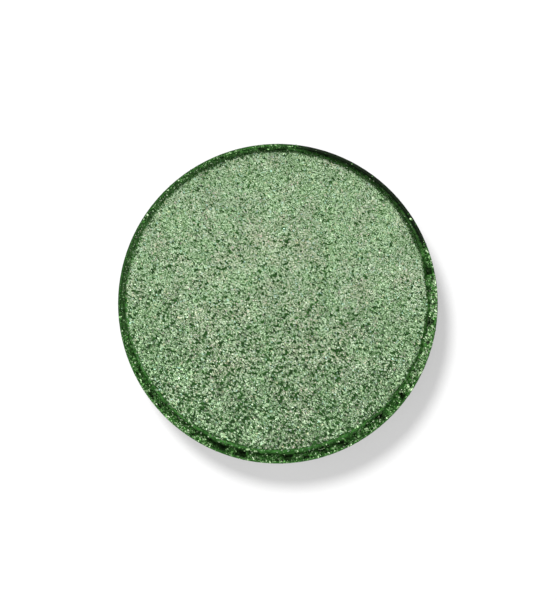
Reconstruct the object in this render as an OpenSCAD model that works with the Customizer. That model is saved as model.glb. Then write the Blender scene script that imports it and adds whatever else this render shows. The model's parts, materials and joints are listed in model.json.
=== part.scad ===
// Pressed shimmer powder refill: a shallow round tinplate pan, the powder cake pressed into it
// and a blank paper label on its base. Millimetres, +Z up, origin at the centre of the label's
// lower face, which is what the refill lies on.

/* [Pan] */
// Outside diameter of the pan
pan_d = 26; // [20:0.5:60]
// Height of the pan, from its base to its rim
pan_h = 3.5; // [3:0.1:6]
// Thickness of the tinplate
sheet_t = 0.2; // [0.15:0.01:0.3]
// Outside radius between the base and the wall
corner_r = 0.7; // [0.5:0.05:0.9]

/* [Powder cake] */
// Hairline gap that the cake leaves at the wall and the floor as it dries
cake_gap = 0.02; // [0.01:0.01:0.04]
// Width of the loose ring between the pressed face and the pan's wall, measured at mid-height
ring_w = 0.65; // [0.65:0.05:1.5]
// Drop from the rim to the pressed face
face_drop = 0.3; // [0.1:0.05:0.5]
// Drop from the rim to the floor of the groove round the face
groove_drop = 0.75; // [0.65:0.05:1]
// Drop from the rim to the loose powder at the wall
lip_drop = 0.4; // [0.2:0.05:0.55]
// Radius of the face's rounded shoulder
shoulder_r = 0.15; // [0.1:0.05:0.3]
// Slope of the face's flank, in degrees above the horizontal
flank_angle = 60; // [45:5:75]
// How far the press stood off the pan's axis, along X
press_x = -0.05; // [-0.2:0.05:0.2]
// How far the press stood off the pan's axis, along Y
press_y = 0.25; // [-0.3:0.05:0.3]

/* [Base label] */
// Diameter of the label
label_d = 20; // [14:0.5:22]
// Thickness of the label with its glue
label_t = 0.1; // [0.05:0.05:0.2]

/* [Hidden] */

$fn = 128;
ARC_STEPS = 6;

pan_r = pan_d / 2;
rim_z = label_t + pan_h;
floor_z = label_t + sheet_t;
bore_r = pan_r - sheet_t;
inner_corner_r = corner_r - sheet_t;

cake_r = bore_r - cake_gap;
cake_base_z = floor_z + cake_gap;
face_r = bore_r - ring_w;
face_z = rim_z - face_drop;
groove_z = rim_z - groove_drop;
lip_z = rim_z - lip_drop;
lip_w = ring_w / 3;
// How far the face's solid reaches down into the cake below the groove
face_root = 0.4;

// Points on an arc round (x, y), from angle a0 to angle a1
function arc(x, y, r, a0, a1) =
    [for (i = [0:ARC_STEPS]) let (a = a0 + (a1 - a0) * i / ARC_STEPS) [x + r * cos(a), y + r * sin(a)]];

// Drawn cup: flat base, rounded corner, straight wall and a rounded rim
module pan() {
    rim_r = sheet_t / 2;
    outer_corner = arc(pan_r - corner_r, label_t + corner_r, corner_r, -90, 0);
    rim = arc(pan_r - rim_r, rim_z - rim_r, rim_r, 0, 180);
    inner_corner = arc(bore_r - inner_corner_r, floor_z + inner_corner_r, inner_corner_r, 0, -90);
    color("silver")
        rotate_extrude()
            polygon(concat([[0, label_t]], outer_corner, rim, inner_corner, [[0, floor_z]]));
}

// Lower part of the cake, up to the groove's floor, with the loose powder banked against the wall
module cake_bed() {
    corner = arc(cake_r - inner_corner_r, cake_base_z + inner_corner_r, inner_corner_r, -90, 0);
    bank = [[cake_r, lip_z], [cake_r - lip_w, groove_z], [0, groove_z]];
    rotate_extrude()
        polygon(concat([[0, cake_base_z]], corner, bank));
}

// The raised face that the press leaves, with a rounded shoulder and a sloping flank
module cake_face() {
    root_z = groove_z - face_root;
    shoulder = arc(face_r - shoulder_r, face_z - shoulder_r, shoulder_r, 90 - flank_angle, 90);
    flank_top = shoulder[0];
    foot_r = flank_top[0] + (flank_top[1] - groove_z) / tan(flank_angle);
    translate([press_x, press_y, 0])
        rotate_extrude()
            polygon(concat([[0, root_z], [foot_r, root_z], [foot_r, groove_z]], shoulder, [[0, face_z]]));
}

// The pressed powder, one solid
module pressed_cake() {
    color("darkseagreen") {
        cake_bed();
        cake_face();
    }
}

// Blank round paper label stuck to the base
module base_label() {
    color("white")
        cylinder(d = label_d, h = label_t);
}

pan();
pressed_cake();
base_label();
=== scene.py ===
"""A pressed shimmer powder refill: a tinplate pan, the cake of powder in it and a blank paper label.

The pan and the label are the frame's own nodes with new materials. The cake is rebuilt here as the
pressed body, the mica flakes on its face, the flakes and crumbs in the ring round it, and the
powder that dusts the pan's rim. All lengths are in metres.
"""

import json
import math

import bmesh
import bpy
import numpy as np
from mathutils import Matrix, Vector

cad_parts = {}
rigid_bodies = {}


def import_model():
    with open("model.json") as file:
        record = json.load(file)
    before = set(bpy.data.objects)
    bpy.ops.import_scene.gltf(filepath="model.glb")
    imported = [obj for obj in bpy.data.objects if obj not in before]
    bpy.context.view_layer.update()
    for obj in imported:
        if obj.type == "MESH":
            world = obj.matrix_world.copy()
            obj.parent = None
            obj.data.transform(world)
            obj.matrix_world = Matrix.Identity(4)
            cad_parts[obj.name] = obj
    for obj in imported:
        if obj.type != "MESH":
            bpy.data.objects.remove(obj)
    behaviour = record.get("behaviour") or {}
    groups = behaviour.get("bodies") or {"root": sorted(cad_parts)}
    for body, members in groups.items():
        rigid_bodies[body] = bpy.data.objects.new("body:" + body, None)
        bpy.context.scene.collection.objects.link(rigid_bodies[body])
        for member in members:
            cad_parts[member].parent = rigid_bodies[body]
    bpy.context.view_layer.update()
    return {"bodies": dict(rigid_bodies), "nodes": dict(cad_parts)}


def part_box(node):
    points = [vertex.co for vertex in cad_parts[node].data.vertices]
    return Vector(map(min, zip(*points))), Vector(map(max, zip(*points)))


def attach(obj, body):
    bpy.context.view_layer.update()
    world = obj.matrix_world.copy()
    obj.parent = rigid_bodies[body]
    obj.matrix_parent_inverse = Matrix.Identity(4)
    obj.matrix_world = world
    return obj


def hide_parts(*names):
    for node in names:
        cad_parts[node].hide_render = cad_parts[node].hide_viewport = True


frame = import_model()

MM = 0.001
TURN = 2 * math.pi
rng = np.random.default_rng(26)

# Sizes from the frame
pan_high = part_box("pan")[1]
cake_low, cake_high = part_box("pressed_cake")
PAN_R = pan_high.x
RIM_Z = pan_high.z
CAKE_R = cake_high.x
CAKE_BASE_Z = cake_low.z
FACE_Z = cake_high.z

# The press mark: its centre, as on the CAD cake, the face's radius, how far inside that the face
# starts to bend down, the groove's floor, and the most that the powder banks up against the wall
PRESS = np.array([-0.05, 0.25]) * MM
FACE_R = CAKE_R - 0.58 * MM
SHOULDER = 0.04 * MM
GROOVE_Z = RIM_Z - 0.75 * MM
BANK_H = 0.66 * MM

# The ring round the face, by bearing in degrees anticlockwise from +X: how far the face's edge stands
# out, in mm; the height share and the width in mm of the powder banked against the wall; how loose and
# sparkling that bank is; and the slope of the face's flank
RING = np.array(
    [
        (0, 0.05, 1.0, 0.88, 1.0, 60),
        (12, 0.02, 1.0, 0.6, 0.75, 56),
        (24, 0.0, 0.2, 0.4, 0.06, 50),
        (76, 0.0, 0.0, 0.4, 0.03, 50),
        (92, -0.05, 0.7, 0.3, 0.3, 52),
        (112, -0.04, 0.85, 0.36, 0.22, 50),
        (140, 0.02, 0.9, 0.4, 0.12, 44),
        (165, 0.11, 0.9, 0.4, 0.08, 44),
        (192, 0.07, 0.95, 0.46, 0.14, 38),
        (214, -0.05, 0.95, 0.46, 0.5, 42),
        (240, -0.13, 0.95, 0.48, 0.5, 40),
        (272, -0.15, 0.85, 0.42, 0.34, 38),
        (300, -0.08, 0.85, 0.46, 0.34, 42),
        (318, -0.03, 0.95, 0.6, 0.45, 50),
        (336, 0.04, 1.0, 0.84, 0.95, 58),
        (360, 0.05, 1.0, 0.88, 1.0, 60),
    ]
)

# Bearings of the middle of two stretches, in degrees, and half their widths: the one where the wall
# is bare, and the one where the flank is dull
BARE_AT, BARE_HALF = 50, 34
DULL_AT, DULL_HALF = 5, 45

# Spacing of the body's points on the face and in the ring
FACE_STEP = 0.094 * MM
RING_STEP = 0.062 * MM
# Points round each level of the body's side
SIDE_POINTS = 256

# Spacing of the flakes, and their middling radii in mm
FLAKE_STEP = 0.122 * MM
FINE_STEP = 0.12 * MM
FLAKE_MM = 0.070
FINE_MM = 0.047
LOOSE_MM = 0.076

# Grains thrown down for the crumbs and for the rim's dust, before some are taken away
CRUMBS = 6500
DUST = 5200


def field(size, waves=28):
    """A smooth random relief of unit spread over points, made of plane waves about size long."""
    length = size * rng.uniform(0.7, 1.5, waves)
    heading = rng.uniform(0, TURN, waves)
    phase = rng.uniform(0, TURN, waves)
    wave = TURN / length * np.array([np.cos(heading), np.sin(heading)])
    return lambda points: np.cos(points @ wave + phase).sum(1) * math.sqrt(2 / waves)


def smooth_step(x, low, high):
    """0 at low, 1 at high and smooth between, whichever of the two is the greater."""
    t = np.clip((x - low) / (high - low), 0, 1)
    return t * t * (3 - 2 * t)


def length_of(points):
    return np.hypot(points[:, 0], points[:, 1])


def bearing(points):
    """Degrees anticlockwise from +X, from 0 to 360."""
    return np.degrees(np.arctan2(points[:, 1], points[:, 0])) % 360


def around(radii, turns):
    """Points at radii and turns about the axis."""
    return np.column_stack([radii * np.cos(turns), radii * np.sin(turns)])


# Relief of the face's edge, then of the loose powder
edge_wave = field(2.2 * MM)
edge_nick = field(0.5 * MM)
lump = field(0.42 * MM)
small_lump = field(0.2 * MM)
# Where flakes are missing from the face
gap = field(0.24 * MM)
crack = field(0.5 * MM)
thin_patch = field(1.1 * MM)
wide_patch = field(3 * MM)
# Hollows in the ring
hollow = field(1.6 * MM)

# Draws the face's gaps out along a line that runs down to the right
COMB = np.array([[0.78, 0.22], [0.22, 0.78]])


def ring(points, column):
    """One of the ring's properties at points."""
    return np.interp(bearing(points), RING[:, 0], RING[:, column])


def loose_share(points):
    return ring(points, 4)


def flank_slope(points):
    return np.tan(np.radians(ring(points, 5)))


def lowness(points):
    """0 in the upper part of the face, rising to 1 at its bottom."""
    return smooth_step(-points[:, 1], -6 * MM, 11 * MM)


def burnish(out):
    """1 on the face's burnished edge and 0 further in, from the distance outside the edge."""
    return smooth_step(out, -0.75 * MM, -0.35 * MM)


def gap_share(points):
    """Where flakes are missing from the face: small slanting gaps, more of them towards the bottom."""
    right = smooth_step(points[:, 0], -4 * MM, 11 * MM)
    soft = 1 - 0.26 * smooth_step(points[:, 1], 0, 9 * MM)
    few = 0.68 - 0.75 * lowness(points) + 0.3 * right
    depth = gap(points @ COMB) + 0.4 * thin_patch(points) + 0.25 * wide_patch(points)
    depth += 1.3 * smooth_step(crack(points @ COMB), 1.5, 2.4)
    return smooth_step(depth, few, few + 1.5) * soft


def press_edge(points):
    """Distance of points outside the pressed face's edge, which wobbles and is nicked."""
    apart = points - PRESS
    on_edge = apart / np.maximum(length_of(apart), MM)[:, None] * FACE_R
    nick = np.maximum(edge_nick(points) - 1.1, 0) * 0.06 * MM
    return length_of(apart) - FACE_R - (edge_wave(on_edge) * 0.03 + ring(points, 1)) * MM + nick


def face_height(points):
    """Height of the pressed face and of the flank that it bends down into."""
    out = press_edge(points) + SHOULDER
    drop = flank_slope(points) * 0.5 * (out + np.sqrt(out**2 + (0.07 * MM) ** 2))
    pits = gap_share(points) * 0.035 * MM
    return FACE_Z - drop - pits


def loose_height(points):
    """Height of the groove's floor and of the powder banked against the wall."""
    loose = loose_share(points)
    uneven = 0.18 * hollow(points) + 0.16 * lump(points)
    width = ring(points, 3) * (1 + uneven * loose) * MM
    bank = smooth_step(length_of(points), CAKE_R - width, CAKE_R - 0.3 * width) * BANK_H * ring(points, 2)
    rough = (0.045 * lump(points) + 0.035 * small_lump(points)) * (0.45 + 0.55 * loose)
    gash = smooth_step(-hollow(points), 0.3, 1.1) * smooth_step(loose, 0.1, 0.35)
    return GROOVE_Z + bank + (rough + 0.11 * hollow(points) * loose - 0.34 * gash) * MM


def cake_height(points):
    """Height of the cake's top at points."""
    return np.maximum(face_height(points), loose_height(points))


def ground(points):
    """Height of what loose powder lies on: the cake's top, and the pan's rounded rim beyond it."""
    rim_r = (PAN_R - CAKE_R) / 2
    beside = np.minimum(np.abs(length_of(points) - PAN_R + rim_r) / rim_r, 1)
    rim = RIM_Z - rim_r * (1 - np.sqrt(1 - beside**2))
    return np.where(length_of(points) < CAKE_R, cake_height(points), rim)


def slopes(points):
    """The slope of the cake's top along X and Y."""
    reach = 0.02 * MM
    here = cake_height(points)
    along = [cake_height(points + np.array(step) * reach) for step in ((1, 0), (0, 1))]
    return np.clip(np.column_stack([(height - here) / reach for height in along]), -1.2, 1.2)


def grain_size(points):
    """Relief of single grains: fine on the face, finer on its burnished edge, coarse in the ring."""
    out = press_edge(points)
    in_ring = smooth_step(out, 0.05 * MM, 0.3 * MM)
    return (0.0085 - 0.005 * burnish(out) + 0.022 * in_ring * loose_share(points)) * MM


def ring_points(radius, step):
    """Points round a circle and their angles, about step apart and a little off the circle."""
    count = max(6, round(TURN * radius / step))
    turns = (np.arange(count) + 0.5 * rng.uniform(0, 1, count)) * TURN / count
    off = radius + rng.uniform(-0.22, 0.22, count) * step
    return around(off, turns), turns


def strip(turns_a, turns_b, start_a, start_b):
    """Triangles between two rings of points, from their angles and the index of each one's first."""
    ahead_a = (turns_a + np.append(turns_a[1:], turns_a[0] + TURN)) / 2
    ahead_b = (turns_b + np.append(turns_b[1:], turns_b[0] + TURN)) / 2
    n, m = len(turns_a), len(turns_b)
    i, j = np.arange(n), np.arange(m)
    j_at_i = np.searchsorted(ahead_b, ahead_a) % m
    i_at_j = np.searchsorted(ahead_a, ahead_b) % n
    from_a = np.column_stack([start_a + i, start_b + j_at_i, start_a + (i + 1) % n])
    from_b = np.column_stack([start_a + i_at_j, start_b + j, start_b + (j + 1) % m])
    return np.concatenate([from_a, from_b])


def mesh_object(name, points, faces):
    """A new mesh object from an array of points and a list or array of faces."""
    mesh = bpy.data.meshes.new(name)
    mesh.from_pydata(points.tolist(), [], faces if isinstance(faces, list) else faces.tolist())
    mesh.update()
    made = bpy.data.objects.new(name, mesh)
    bpy.context.scene.collection.objects.link(made)
    return made


def cake_top():
    """Rings of points and their angles, from the middle of the cake's top out to its edge."""
    radii = list(np.arange(FACE_STEP, FACE_R - 0.5 * MM, FACE_STEP * 0.87))
    fine = list(np.arange(radii[-1] + RING_STEP, CAKE_R - RING_STEP * 0.4, RING_STEP * 0.87)) + [CAKE_R]
    steps = [FACE_STEP] * len(radii) + [RING_STEP] * len(fine)
    rings = []
    for radius, step in zip(radii + fine, steps):
        flat, turns = ring_points(radius, step)
        flat *= np.minimum(1, CAKE_R / length_of(flat))[:, None]
        grain = rng.normal(0, 1, len(flat)) * grain_size(flat)
        rings.append((np.column_stack([flat, cake_height(flat) + grain]), turns))
    return rings


def cake_side():
    """Rings of points and their angles, down the cake's wall and in under its base."""
    levels = [
        (CAKE_R, GROOVE_Z),
        (CAKE_R, CAKE_BASE_Z + 0.5 * MM),
        (CAKE_R - 0.5 * MM, CAKE_BASE_Z),
        (CAKE_R * 0.5, CAKE_BASE_Z),
    ]
    turns = np.arange(SIDE_POINTS) * TURN / SIDE_POINTS
    rings = [np.column_stack([around(radius, turns), np.full(SIDE_POINTS, z)]) for radius, z in levels]
    return [(points, turns) for points in rings]


def make_cake():
    """The pressed body, closed: a fan at the middle of its top and of its base, and strips between."""
    rings = cake_top() + cake_side()
    points = [[[0, 0, FACE_Z]]] + [on_ring for on_ring, _ in rings] + [[[0, 0, CAKE_BASE_Z]]]
    inner = 1 + np.arange(len(rings[0][1]))
    triangles = [np.column_stack([np.zeros_like(inner), inner, np.roll(inner, -1)])]
    start = 1
    for (_, turns), (_, next_turns) in zip(rings, rings[1:]):
        triangles.append(strip(turns, next_turns, start, start + len(turns)))
        start += len(turns)
    last = start + np.arange(SIDE_POINTS)
    middle = np.full_like(last, start + SIDE_POINTS)
    triangles.append(np.column_stack([last, middle, np.roll(last, -1)]))
    return mesh_object("pressed_powder", np.concatenate(points), np.concatenate(triangles))


def grain_radii(count, middle, spread, least, most):
    """Random radii about a middling one; sizes are given in mm."""
    return np.clip(rng.lognormal(math.log(middle), spread, count), least, most) * MM


def make_plates(name, centres, tilts, radii, thickness, corners):
    """Flat longish mica flakes, each a closed solid whose point is sunk in the powder."""
    count = len(centres)
    normal = np.column_stack([-tilts, np.ones(count)])
    normal /= np.linalg.norm(normal, axis=1)[:, None]
    across = np.cross(normal, [0.0, 1.0, 0.0])
    across /= np.linalg.norm(across, axis=1)[:, None]
    up = np.cross(normal, across)
    turn = rng.uniform(0, TURN, count)[:, None] + np.arange(corners) * TURN / corners
    turn += rng.uniform(-0.3, 0.3, turn.shape)
    reach = radii[:, None] * rng.uniform(0.7, 1.15, turn.shape)
    lie = rng.normal(-TURN / 8, TURN / 8, count)[:, None]
    long, wide = reach * np.cos(turn) * 1.25, reach * np.sin(turn) * 0.8
    x = long * np.cos(lie) - wide * np.sin(lie)
    y = long * np.sin(lie) + wide * np.cos(lie)
    top = centres[:, None] + x[..., None] * across[:, None] + y[..., None] * up[:, None]
    sunk = centres - normal * thickness
    points = np.concatenate([top, sunk[:, None]], axis=1).reshape(-1, 3)
    faces = []
    for first in range(0, len(points), corners + 1):
        faces.append(list(range(first, first + corners)))
        for i in range(corners):
            faces.append([first + (i + 1) % corners, first + i, first + corners])
    return mesh_object(name, points, faces)


def honeycomb(reach, step):
    """Jittered points of a honeycomb within reach of the axis."""
    side = np.arange(-reach, reach, step)
    x, y = np.meshgrid(side, np.arange(-reach, reach, step * 0.87))
    x = x + (np.arange(len(y)) % 2)[:, None] * step / 2
    points = np.column_stack([x.ravel(), y.ravel()])
    points += rng.uniform(-0.36, 0.36, points.shape) * step
    return points[length_of(points) < reach]


def make_face_flakes(name, step, middle_mm):
    """Flakes laid almost flat on the face, and some like them on the loosest stretch of the bank."""
    flat = honeycomb(PAN_R, step)
    out = press_edge(flat)
    fade = smooth_step(flank_slope(flat), 1.5, 1.05)
    cover = (0.93 - 0.93 * gap_share(flat)) * (1 - 0.15 * fade * smooth_step(out, -0.5 * MM, 0))
    on_face = out < (0.5 * fade * rng.uniform(0, 1, len(flat)) ** 1.6 - 0.03) * MM
    on_bank = rng.uniform(0, 0.9, len(flat)) < smooth_step(loose_share(flat), 0.7, 1.0)
    on_bank &= (out > 0.14 * MM) & (length_of(flat) < PAN_R - 0.06 * MM)
    flat = flat[(on_face | on_bank) & (rng.uniform(0, 1, len(flat)) < cover)]
    spread = 0.08 + 0.05 * lowness(flat) - 0.04 * burnish(press_edge(flat))
    tilts = slopes(flat) + rng.normal(0, 1, (len(flat), 2)) * spread[:, None]
    height = ground(flat) + rng.uniform(0.004, 0.03, len(flat)) * MM
    radii = grain_radii(len(flat), middle_mm, 0.22, 0.03, 0.15)
    return make_plates(name, np.column_stack([flat, height]), tilts, radii, 0.05 * MM, 4)


def make_ring_flakes():
    """Loose flakes that lie any way up on the flank, in the groove, on the bank and on the pan's rim."""
    flat = honeycomb(PAN_R - 0.05 * MM, FINE_STEP)
    out = press_edge(flat)
    start = (0.32 - 0.22 * loose_share(flat)) * MM
    cover = (0.04 + 0.92 * smooth_step(out, start, start + 0.16 * MM)) * loose_share(flat) ** 1.3
    cover *= smooth_step(PAN_R - length_of(flat), 0.02 * MM, 0.2 * MM)
    cover *= smooth_step(hollow(flat), -1.5, -0.6)
    flat = flat[(out > 0) & (rng.uniform(0, 1, len(flat)) < cover)]
    inside = (length_of(flat) < CAKE_R)[:, None]
    tilts = 0.5 * slopes(flat) * inside + rng.normal(0, 0.3, (len(flat), 2))
    height = ground(flat) + rng.uniform(0.02, 0.1, len(flat)) * MM
    radii = grain_radii(len(flat), LOOSE_MM, 0.25, 0.04, 0.13)
    radii = np.minimum(radii, 0.03 * MM + 0.7 * (PAN_R - length_of(flat)))
    return make_plates("ring_flakes", np.column_stack([flat, height]), tilts, radii, 0.07 * MM, 5)


def make_lumps(name, centres, radii):
    """Angular crumbs: knocked-about icosahedra, one for each centre."""
    ball = bmesh.new()
    bmesh.ops.create_icosphere(ball, subdivisions=1, radius=1)
    base = np.array([v.co for v in ball.verts])
    faces = np.array([[v.index for v in f.verts] for f in ball.faces])
    ball.free()
    count = len(centres)
    spin = np.linalg.qr(rng.normal(0, 1, (count, 3, 3)))[0]
    spin *= np.sign(np.linalg.det(spin))[:, None, None]
    knocked = base * rng.uniform(0.65, 1.2, (count, len(base), 1))
    knocked *= rng.uniform(0.6, 1.1, (count, 1, 3))
    points = np.einsum("cij,cpj->cpi", spin, knocked) * radii[:, None, None] + centres[:, None]
    offset = np.arange(count)[:, None, None] * len(base)
    return mesh_object(name, points.reshape(-1, 3), (faces + offset).reshape(-1, 3))


def make_crumbs():
    """Loose crumbs in the groove and on the bank, with next to none where the wall is bare."""
    turns = rng.uniform(0, TURN, CRUMBS)
    flat = around(PAN_R - 0.1 * MM - rng.beta(1.1, 1.9, CRUMBS) * 0.85 * MM, turns)
    share = 0.03 + 0.95 * smooth_step(loose_share(flat), 0.03, 0.3)
    share *= smooth_step(hollow(flat), -1.1, -0.4)
    flat = flat[(press_edge(flat) > 0.28 * MM) & (rng.uniform(0, 1, CRUMBS) < share)]
    radii = grain_radii(len(flat), 0.058, 0.4, 0.025, 0.15)
    radii = np.minimum(radii, 0.8 * (PAN_R - length_of(flat)))
    height = np.minimum(ground(flat) + radii * 0.4, RIM_Z - radii * 0.3)
    return make_lumps("loose_crumbs", np.column_stack([flat, height]), radii)


def make_rim_dust():
    """Powder caught on the pan's rim, but not where the wall is bare."""
    turns = rng.uniform(0, TURN, DUST)
    flat = around(rng.uniform(CAKE_R - 0.02 * MM, PAN_R - 0.035 * MM, DUST), turns)
    flat = flat[rng.uniform(0, 1, DUST) < 0.95 * smooth_step(loose_share(flat), 0.06, 0.3)]
    radii = grain_radii(len(flat), 0.042, 0.35, 0.015, 0.07)
    return make_lumps("rim_dust", np.column_stack([flat, ground(flat) + radii * 0.25]), radii)


class Shader:
    """A material's node tree, with short calls to add and join its nodes."""

    def __init__(self, name):
        self.material = bpy.data.materials.new(name)
        self.material.use_nodes = True
        self.tree = self.material.node_tree
        self.principled = self.tree.nodes["Principled BSDF"]

    def node(self, kind, inputs=None, **settings):
        made = self.tree.nodes.new("ShaderNode" + kind)
        for key, value in settings.items():
            setattr(made, key, value)
        for key, value in (inputs or {}).items():
            self.feed(made.inputs[key], value)
        return made

    def feed(self, socket, value):
        """Gives a socket another node's output, or a plain value."""
        if isinstance(value, bpy.types.NodeSocket):
            self.tree.links.new(value, socket)
        else:
            socket.default_value = value

    def set(self, **inputs):
        """Feeds the Principled shader, with spaces in a socket's name as underscores."""
        for key, value in inputs.items():
            self.feed(self.principled.inputs[key.replace("_", " ")], value)

    def math(self, operation, a, b=0.0):
        return self.node("Math", {0: a, 1: b}, operation=operation).outputs[0]

    def times(self, a, b):
        return self.math("MULTIPLY", a, b)

    def plus(self, a, b):
        return self.math("ADD", a, b)

    def vector(self, operation, a, b=(0, 0, 0), output="Vector"):
        return self.node("VectorMath", {0: a, 1: b}, operation=operation).outputs[output]

    def spread(self, value, low, high, to_low=0.0, to_high=1.0):
        """value's stretch from low to high, mapped to to_low to to_high and held there."""
        inputs = {"Value": value, "From Min": low, "From Max": high, "To Min": to_low, "To Max": to_high}
        return self.node("MapRange", inputs).outputs["Result"]

    def own(self):
        """A random value from 0 to 1 for each separate flake or crumb."""
        return self.node("NewGeometry").outputs["Random Per Island"]

    def again(self, own, times):
        """Another random value from 0 to 1, made out of a first one."""
        return self.math("FRACT", self.times(own, times))

    def place(self):
        return self.node("TexCoord").outputs["Object"]

    def scaled(self, *factors):
        """The place, multiplied by a factor for each axis."""
        return self.vector("MULTIPLY", self.place(), factors)

    def axis(self, index):
        return self.node("SeparateXYZ", {"Vector": self.place()}).outputs[index]

    def flat(self):
        """The place with its height left out."""
        return self.scaled(1, 1, 0)

    def radius(self):
        return self.vector("LENGTH", self.flat(), output="Value")

    def stretch(self, at, half, soft=6):
        """1 within half a stretch of the bearing at, and 0 elsewhere, all in degrees."""
        toward = (math.cos(math.radians(at)), math.sin(math.radians(at)), 0)
        straight = self.vector("NORMALIZE", self.flat())
        nearness = self.vector("DOT_PRODUCT", straight, toward, "Value")
        edge = [math.cos(math.radians(half + more)) for more in (soft, -soft)]
        return self.spread(nearness, *edge)

    def bare_stretch(self):
        """1 by the stretch of wall that the powder leaves bare, and 0 elsewhere."""
        return self.stretch(BARE_AT, BARE_HALF)

    def noise(self, scale, detail=2.0, place=None, rough=0.5):
        inputs = {"Vector": place or self.place(), "Scale": scale, "Detail": detail, "Roughness": rough}
        return self.node("TexNoise", inputs).outputs["Fac"]

    def cells(self, scale, output="Color"):
        return self.node("TexVoronoi", {"Vector": self.place(), "Scale": scale}).outputs[output]

    def part(self, colour, index):
        """One channel of a colour."""
        return self.node("SeparateColor", {"Color": colour}).outputs[index]

    def ramp(self, value, *stops):
        """A colour ramp; each stop is (position, colour), with a colour or a grey."""
        made = self.node("ValToRGB", {"Fac": value})
        bands = made.color_ramp.elements
        while len(bands) < len(stops):
            bands.new(0.5)
        for band, (position, colour) in zip(bands, stops):
            band.position = position
            band.color = (*colour, 1) if isinstance(colour, tuple) else (colour, colour, colour, 1)
        return made.outputs["Color"]

    def mix(self, share, a, b, blend="MIX"):
        made = self.node("Mix", data_type="RGBA", blend_type=blend)
        for socket, value in zip((made.inputs[0], made.inputs[6], made.inputs[7]), (share, a, b)):
            self.feed(socket, (*value, 1) if isinstance(value, tuple) else value)
        return made.outputs[2]

    def tinted(self, colour, by):
        """A colour multiplied by another colour, or by a value."""
        return self.mix(1.0, colour, by, "MULTIPLY")

    def bump(self, height, distance):
        return self.node("Bump", {"Height": height, "Distance": distance}).outputs["Normal"]


DEEP_GREEN = (0.005, 0.023, 0.003)
MID_GREEN = (0.026, 0.098, 0.017)
SOFT_GREEN = (0.095, 0.22, 0.07)
PALE_GREEN = (0.36, 0.58, 0.28)


def smooth_green(s):
    """Powder that the press burnished or smeared: duller on the right, darker against the wall."""
    green = s.ramp(s.noise(2500, 4.0), (0.38, (0.022, 0.098, 0.014)), (0.62, (0.07, 0.235, 0.047)))
    green = s.mix(s.stretch(DULL_AT, DULL_HALF, 15), green, s.tinted(green, (0.82, 0.74, 0.78)))
    banked = s.spread(s.radius(), CAKE_R - 0.42 * MM, CAKE_R - 0.22 * MM)
    banked = s.math("SUBTRACT", banked, s.bare_stretch())
    return s.mix(banked, green, s.tinted(green, (0.5, 0.42, 0.5)))


def painted_depth_shade(s):
    """Painted shade, below 1: darkens the powder's colour down in the groove, more in its gashes, and most
    in the corner under the bare wall.
    """
    # Painted shade: darker the lower the powder lies in the groove and its gashes, and near-black in the
    # corner under the bare wall.
    groove = s.spread(s.axis(2), GROOVE_Z - 0.05 * MM, FACE_Z - 0.2 * MM, 0.26, 1.0)
    gash = s.spread(s.axis(2), GROOVE_Z - 0.3 * MM, GROOVE_Z - 0.04 * MM, 0.08, 1.0)
    corner = s.spread(s.radius(), CAKE_R - 0.15 * MM, CAKE_R - 0.05 * MM)
    bare_corner_shade = s.times(corner, s.bare_stretch())
    return s.times(s.times(groove, gash), s.spread(bare_corner_shade, 0, 1, 1, 0.2))


def powder_body():
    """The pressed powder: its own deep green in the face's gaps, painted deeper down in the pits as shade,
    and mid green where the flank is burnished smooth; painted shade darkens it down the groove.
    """
    s = Shader("packed_powder")
    grain = s.cells(9000)
    # Painted shade: the powder's own green is made deeper down in the face's pits than on its top.
    pit_shade_mask = s.spread(s.axis(2), FACE_Z - 0.021 * MM, FACE_Z + 0.015 * MM)
    shallow = s.mix(s.part(grain, 0), MID_GREEN, SOFT_GREEN)
    bare = s.mix(pit_shade_mask, s.mix(s.part(grain, 1), DEEP_GREEN, MID_GREEN), shallow)
    out = s.vector("DISTANCE", s.flat(), (*PRESS, 0), "Value")
    flank = s.spread(out, FACE_R - 0.05 * MM, FACE_R + 0.06 * MM)
    # The painted depth shade darkens the body's colour down the groove and in the corner under the bare
    # wall.
    colour = s.tinted(s.mix(flank, bare, smooth_green(s)), painted_depth_shade(s))
    s.set(Base_Color=colour, Roughness=s.spread(s.part(grain, 1), 0.0, 1.0, 0.5, 0.85))
    s.set(Specular_IOR_Level=0.12, Normal=s.bump(s.cells(14000, "Distance"), 0.006 * MM))
    return s.material


# Tints of the mica flakes, each with its place on a scale that every flake draws from at random. The
# last few on the face are rosy, gold and aqua.
FACE_TINTS = (
    (0.0, (0.16, 0.27, 0.12)),
    (0.25, (0.33, 0.47, 0.28)),
    (0.55, (0.44, 0.58, 0.385)),
    (0.84, (0.58, 0.72, 0.52)),
    (0.87, (0.53, 0.51, 0.44)),
    (0.91, (0.51, 0.58, 0.34)),
    (0.95, (0.37, 0.58, 0.48)),
    (1.0, (0.45, 0.58, 0.40)),
)
LOOSE_TINTS = (
    (0.0, (0.03, 0.15, 0.02)),
    (0.35, (0.17, 0.38, 0.12)),
    (0.6, (0.52, 0.71, 0.42)),
    (1.0, (0.74, 0.88, 0.64)),
)


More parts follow.
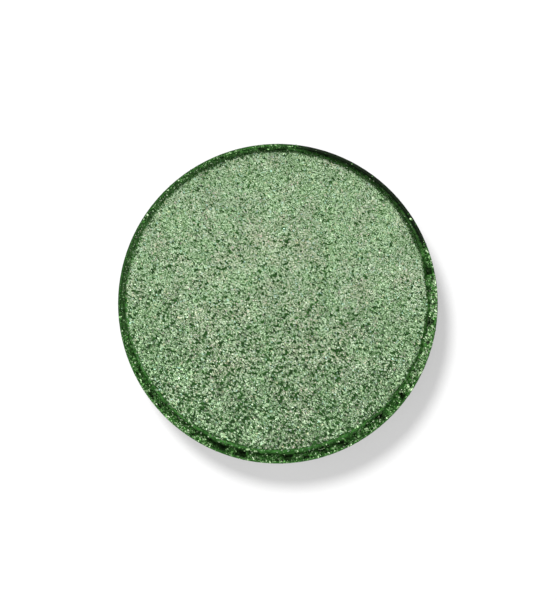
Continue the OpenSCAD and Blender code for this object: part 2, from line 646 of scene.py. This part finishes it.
def flake_shader(name, tints, rosy_most, turned_flake_shade_most):
    """Mica flakes, each with its own tint and rosier in patches; more of them towards -Y are painted dark
    as shade, for flakes turned away from the light.
    """
    s = Shader(name)
    own = s.own()
    tint = s.ramp(own, *tints)
    inward = s.spread(s.radius(), 12 * MM, 3 * MM, -0.06, 0.03)
    patch = s.plus(s.noise(320, 5.0, rough=0.75), inward)
    green = s.mix(s.spread(patch, 0.5, 0.4), tint, s.tinted(tint, (0.94, 1.0, 0.91)))
    rosy = s.spread(patch, 0.46, 0.64, 0.0, rosy_most)
    colour = s.mix(rosy, green, s.tinted(tint, (1.1, 0.9, 0.98)))
    # Painted shade: a share of the flakes, rising towards -Y, is darkened to stand for flakes turned away
    # from the light.
    turned_flake_shade_share = s.spread(s.axis(1), 3 * MM, -11 * MM, 0.02, turned_flake_shade_most)
    dull = s.math("LESS_THAN", s.again(own, 53.0), turned_flake_shade_share)
    patchy = s.spread(s.noise(400, 4.0, rough=0.7), 0.3, 0.7, 0.82, 1.1)
    shade = s.times(patchy, s.spread(dull, 0, 1, 1, 0.38))
    grit = s.spread(s.part(s.cells(30000), 0), 0, 1, 0, 0.1)
    rough = s.plus(grit, s.spread(s.again(own, 37.0), 0.0, 1.0, 0.48, 0.66))
    s.set(Base_Color=s.tinted(colour, shade), Metallic=1.0, Roughness=rough)
    return s.material


def crumb_shader(name):
    """Broken powder: deep green crumbs with single bright grains in them, painted darker as shade the lower
    they lie in the groove.
    """
    s = Shader(name)
    grain = s.cells(11000)
    greens = ((0.0, (0.008, 0.042, 0.005)), (0.5, (0.025, 0.12, 0.015)), (1.0, (0.065, 0.21, 0.04)))
    bright = s.spread(s.part(grain, 0), 0.8, 0.86)
    # Painted shade: the crumbs darken the lower they lie down the groove.
    depth = s.spread(s.axis(2), GROOVE_Z - 0.15 * MM, RIM_Z - 0.3 * MM, 0.1, 1.0)
    colour = s.tinted(s.mix(bright, s.ramp(s.own(), *greens), PALE_GREEN), depth)
    rough = s.spread(s.part(grain, 1), 0.0, 1.0, 0.4, 0.8)
    s.set(Base_Color=colour, Roughness=rough, Metallic=s.times(bright, 0.9), Specular_IOR_Level=0.12)
    return s.material


def tinplate():
    """Bright tinplate with draw lines and fine scratches, filmed with green powder on its rim and inside,
    except along the bare stretch of wall, where the film is a near-black sheet painted as shade and dark
    reflection.
    """
    s = Shader("tinplate")
    drawn = s.noise(9000, 2.0, s.scaled(1, 1, 0.03))
    scratch = s.noise(2600, 6.0, s.scaled(0.15, 1, 1))
    steel = s.ramp(s.noise(260, 4.0), (0.3, (0.50, 0.50, 0.48)), (0.7, (0.66, 0.66, 0.64)))
    steel = s.mix(s.spread(drawn, 0.45, 0.7, 0.0, 0.35), steel, (0.36, 0.36, 0.35))
    high = s.plus(s.axis(2), s.times(s.noise(1400, 4.0), 0.25 * MM))
    on_rim = s.spread(high, RIM_Z - 0.02 * MM, RIM_Z + 0.05 * MM)
    inner = s.spread(s.radius(), PAN_R - 0.1 * MM, PAN_R - 0.16 * MM)
    upper = s.spread(s.axis(2), RIM_Z - 1.4 * MM, RIM_Z - 1.1 * MM)
    film = s.math("MAXIMUM", on_rim, s.times(inner, upper))
    speck = s.noise(6000, 3.0)
    dust = s.ramp(speck, (0.35, (0.010, 0.042, 0.007)), (0.7, (0.032, 0.11, 0.021)))
    # Painted shade and dark reflection: a near-black film in place of the dust along the bare stretch of
    # wall.
    painted_wall_shade = s.ramp(speck, (0.35, (0.003, 0.007, 0.002)), (0.7, (0.008, 0.022, 0.006)))
    s.set(Base_Color=s.mix(film, steel, s.mix(s.bare_stretch(), dust, painted_wall_shade)))
    s.set(Metallic=s.math("SUBTRACT", 1.0, film), Specular_IOR_Level=0.15)
    polish = s.spread(s.plus(drawn, scratch), 0.7, 1.3, 0.2, 0.42)
    s.set(Roughness=s.plus(s.times(film, 0.45), polish))
    s.set(Normal=s.bump(s.plus(drawn, s.times(scratch, 0.4)), 0.004 * MM))
    return s.material


def label_paper():
    """Matt white paper with fibres that lie both ways and a faint, cloudy yellowing."""
    s = Shader("label_paper")
    fibres = s.plus(s.noise(9000, 4.0, s.scaled(1, 0.2, 1)), s.noise(7000, 4.0, s.scaled(0.25, 1, 1)))
    paper = s.ramp(s.noise(300, 3.0), (0.3, (0.78, 0.77, 0.72)), (0.7, (0.86, 0.85, 0.82)))
    paper = s.mix(s.spread(fibres, 0.8, 1.25, 0.0, 0.3), paper, (0.66, 0.64, 0.58))
    s.set(Base_Color=paper, Roughness=s.spread(fibres, 0.8, 1.2, 0.75, 0.95))
    s.set(Normal=s.bump(fibres, 0.012 * MM))
    return s.material


def floor_shader():
    """A white light table: it glows a little, so that shadows on it stay pale."""
    s = Shader("light_table")
    shade = s.ramp(s.noise(30, 2.0), (0.3, 0.40), (0.7, 0.42))
    s.set(Base_Color=shade, Roughness=0.9, Specular_IOR_Level=0.0)
    s.set(Emission_Color=(1, 1, 1, 1), Emission_Strength=0.3)
    return s.material


def wear(piece, material):
    """Gives a piece one material in place of any it has."""
    piece.data.materials.clear()
    piece.data.materials.append(material)


def dress_cad_nodes():
    wear(frame["nodes"]["pan"], tinplate())
    wear(frame["nodes"]["base_label"], label_paper())


def make_powder():
    """Every piece of the powder, riding on the refill's one body."""
    crumbs = crumb_shader("crumbly_powder")
    mica = flake_shader("mica_flakes", FACE_TINTS, 0.65, 0.36)
    made = [
        (make_cake(), powder_body()),
        (make_face_flakes("face_flakes", FLAKE_STEP, FLAKE_MM), mica),
        (make_face_flakes("fine_flakes", FINE_STEP, FINE_MM), mica),
        (make_ring_flakes(), flake_shader("loose_flakes", LOOSE_TINTS, 0.0, 0.1)),
        (make_crumbs(), crumbs),
        (make_rim_dust(), crumbs),
    ]
    for piece, material in made:
        wear(piece, material)
        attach(piece, next(iter(frame["bodies"])))
    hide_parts("pressed_cake")


# The camera looks straight down, and the pan fills this share of the frame's height.
CAMERA_HEIGHT = 0.13
PAN_SHARE = 0.5335
CAMERA_XY = (0.05 * MM, 0.3 * MM)
SENSOR_MM = 36

# The floor lies just under the label, and reaches this far each way.
FLOOR_Z = -0.01 * MM
FLOOR_REACH = 1.5


def make_camera():
    lens = bpy.data.cameras.new("camera")
    lens.sensor_width = SENSOR_MM
    lens.lens = SENSOR_MM * (CAMERA_HEIGHT - RIM_Z) * PAN_SHARE / (2 * PAN_R)
    lens.clip_start = 0.01
    camera = bpy.data.objects.new("camera", lens)
    camera.location = (*CAMERA_XY, CAMERA_HEIGHT)
    bpy.context.scene.collection.objects.link(camera)
    bpy.context.scene.camera = camera


def make_light(name, place, size, power):
    """A round area light that faces the refill."""
    light = bpy.data.lights.new(name, "AREA")
    light.shape = "DISK"
    light.size = size
    light.energy = power
    made = bpy.data.objects.new(name, light)
    made.location = place
    made.rotation_mode = "QUATERNION"
    made.rotation_quaternion = Vector(place).to_track_quat("Z", "Y")
    bpy.context.scene.collection.objects.link(made)
    return made


def link_light(light, floor, state):
    """Makes a light fall on the floor only, with state INCLUDE, or on all but the floor, with EXCLUDE."""
    group = bpy.data.collections.new(light.name + "_floor")
    group.objects.link(floor)
    group.collection_objects[0].light_linking.link_state = state
    light.light_linking.receiver_collection = group


def make_floor():
    signs = ((-1, -1), (1, -1), (1, 1), (-1, 1))
    corners = np.array([(x * FLOOR_REACH, y * FLOOR_REACH, FLOOR_Z) for x, y in signs])
    floor = mesh_object("floor", corners, [[0, 1, 2, 3]])
    wear(floor, floor_shader())
    return floor


def make_room():
    """White floor and surround, a light for the floor's soft shadow, and one that rakes the powder."""
    floor = make_floor()
    link_light(make_light("floor_light", (-0.112, 0.189, 0.3), 0.105, 1.9), floor, "INCLUDE")
    link_light(make_light("powder_light", (-0.07, -0.18, 0.28), 0.12, 0.75), floor, "EXCLUDE")
    world = bpy.data.worlds.new("surround")
    world.use_nodes = True
    background = world.node_tree.nodes["Background"]
    background.inputs["Color"].default_value = (1, 1, 1, 1)
    background.inputs["Strength"].default_value = 0.82
    bpy.context.scene.world = world
    bpy.context.scene.view_settings.view_transform = "Standard"


make_camera()
make_room()
dress_cad_nodes()
make_powder()
